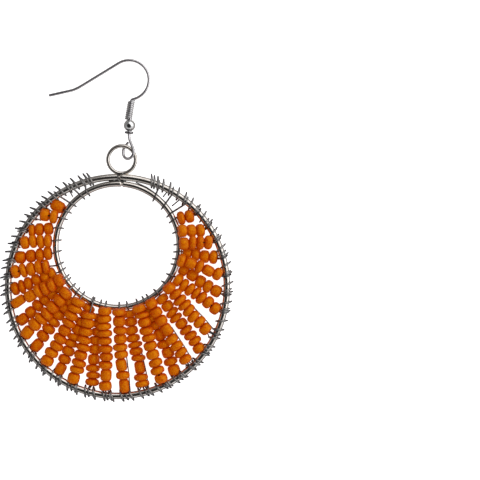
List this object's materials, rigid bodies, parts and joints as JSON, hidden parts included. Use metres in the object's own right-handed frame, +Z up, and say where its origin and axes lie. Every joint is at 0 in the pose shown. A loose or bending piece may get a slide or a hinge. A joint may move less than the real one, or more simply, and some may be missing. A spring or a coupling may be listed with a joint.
{
  "type": "dangle earring",
  "caption": "Hoop dangle earring: strings of orange beads run between two soldered wire hoops, under a fish hook ear wire.",
  "frame": {"origin": "on the surface that the earring lies on, under the middle of its outline", "axes": "X and Y lie in the surface, +Y runs from the hoops to the ear wire, +Z points up, away from the surface"},
  "size_m": [0.0566, 0.0832, 0.0059],
  "materials": {
    "hoop_metal": "polished nickel silver wire",
    "ear_wire_metal": "polished plated wire",
    "ball_metal": "polished plated ball and collar",
    "string_wire": "fine drawn wire",
    "beads": "opaque orange glass, soft matte gloss"
  },
  "bodies": {
    "root": {"hoop_frame": "hoop_metal", "ear_wire": "ear_wire_metal", "ear_coil": "ear_wire_metal", "ear_ball": "ball_metal", "ear_collar": "ball_metal", "bead_wires": "string_wire", "bead_strand_01": "beads", "bead_strand_02": "beads", "bead_strand_03": "beads", "bead_strand_04": "beads", "bead_strand_05": "beads", "bead_strand_06": "beads", "bead_strand_07": "beads", "bead_strand_08": "beads", "bead_strand_09": "beads", "bead_strand_10": "beads", "bead_strand_11": "beads", "bead_strand_12": "beads", "bead_strand_13": "beads", "bead_strand_14": "beads", "bead_strand_15": "beads", "bead_strand_16": "beads", "bead_strand_17": "beads", "bead_strand_18": "beads", "bead_strand_19": "beads", "bead_strand_20": "beads", "bead_strand_21": "beads", "bead_strand_22": "beads", "bead_strand_23": "beads", "bead_strand_24": "beads", "bead_strand_25": "beads", "bead_strand_26": "beads", "bead_strand_27": "beads", "bead_strand_28": "beads", "bead_strand_29": "beads", "bead_strand_30": "beads"}
  },
  "joints": []
}
